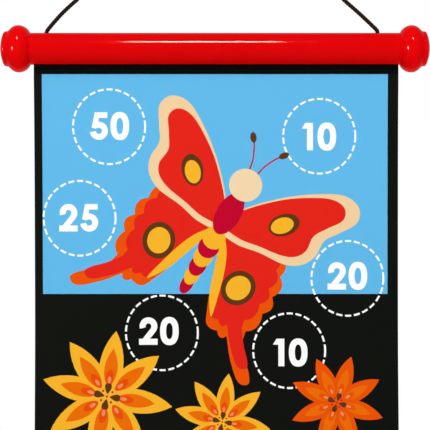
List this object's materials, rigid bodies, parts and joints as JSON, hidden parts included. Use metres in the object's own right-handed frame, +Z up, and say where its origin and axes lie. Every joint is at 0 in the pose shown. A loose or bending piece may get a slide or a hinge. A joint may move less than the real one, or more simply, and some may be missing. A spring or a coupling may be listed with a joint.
{
  "type": "magnetic dartboard",
  "caption": "Roll-up magnetic dartboard: a printed cloth target mat with an iron-filled core between two knobbed plastic bars, hanging by a cord from a hook.",
  "frame": {"origin": "the point where the hanging cord rests on its hook", "axes": "+X to the right along the bars, +Y into the wall behind the board, +Z up"},
  "size_m": [0.24, 0.0262, 0.3624],
  "materials": {
    "bar_plastic": "high gloss",
    "knob_plastic": "high gloss",
    "cord": "braided",
    "rod": "bare",
    "black_cloth": "matte woven",
    "thread": "twisted thread",
    "print": "printed coated cloth",
    "core": "iron-filled rubber sheet",
    "back": "matte woven"
  },
  "bodies": {
    "cord_loop": {"hanging_cord": "cord"},
    "top_bar": {"top_tube": "bar_plastic", "top_left_knob": "knob_plastic", "top_right_knob": "knob_plastic", "top_rod": "rod", "top_sleeve": "black_cloth", "left_cord_knot": "cord", "right_cord_knot": "cord"},
    "mat": {"top_hem": "black_cloth", "top_seam": "thread", "printed_face": "print", "ferrous_core": "core", "back_cloth": "back", "bottom_seam": "thread", "bottom_hem": "black_cloth"},
    "bottom_bar": {"bottom_tube": "bar_plastic", "bottom_left_knob": "knob_plastic", "bottom_right_knob": "knob_plastic", "bottom_rod": "rod", "bottom_sleeve": "black_cloth"}
  },
  "joints": [
    {"name": "bar_swing", "type": "hinge", "parent": "cord_loop", "child": "top_bar", "pos_m": [0, 0, -0.0837], "axis": [1, 0, 0], "range_deg": [-80, 80]},
    {"name": "mat_swing", "type": "hinge", "parent": "top_bar", "child": "mat", "pos_m": [0, 0, -0.1044], "axis": [1, 0, 0], "range_deg": [-90, 90]},
    {"name": "bottom_bar_swing", "type": "hinge", "parent": "mat", "child": "bottom_bar", "pos_m": [0, 0, -0.3371], "axis": [1, 0, 0], "range_deg": [-90, 90]}
  ]
}
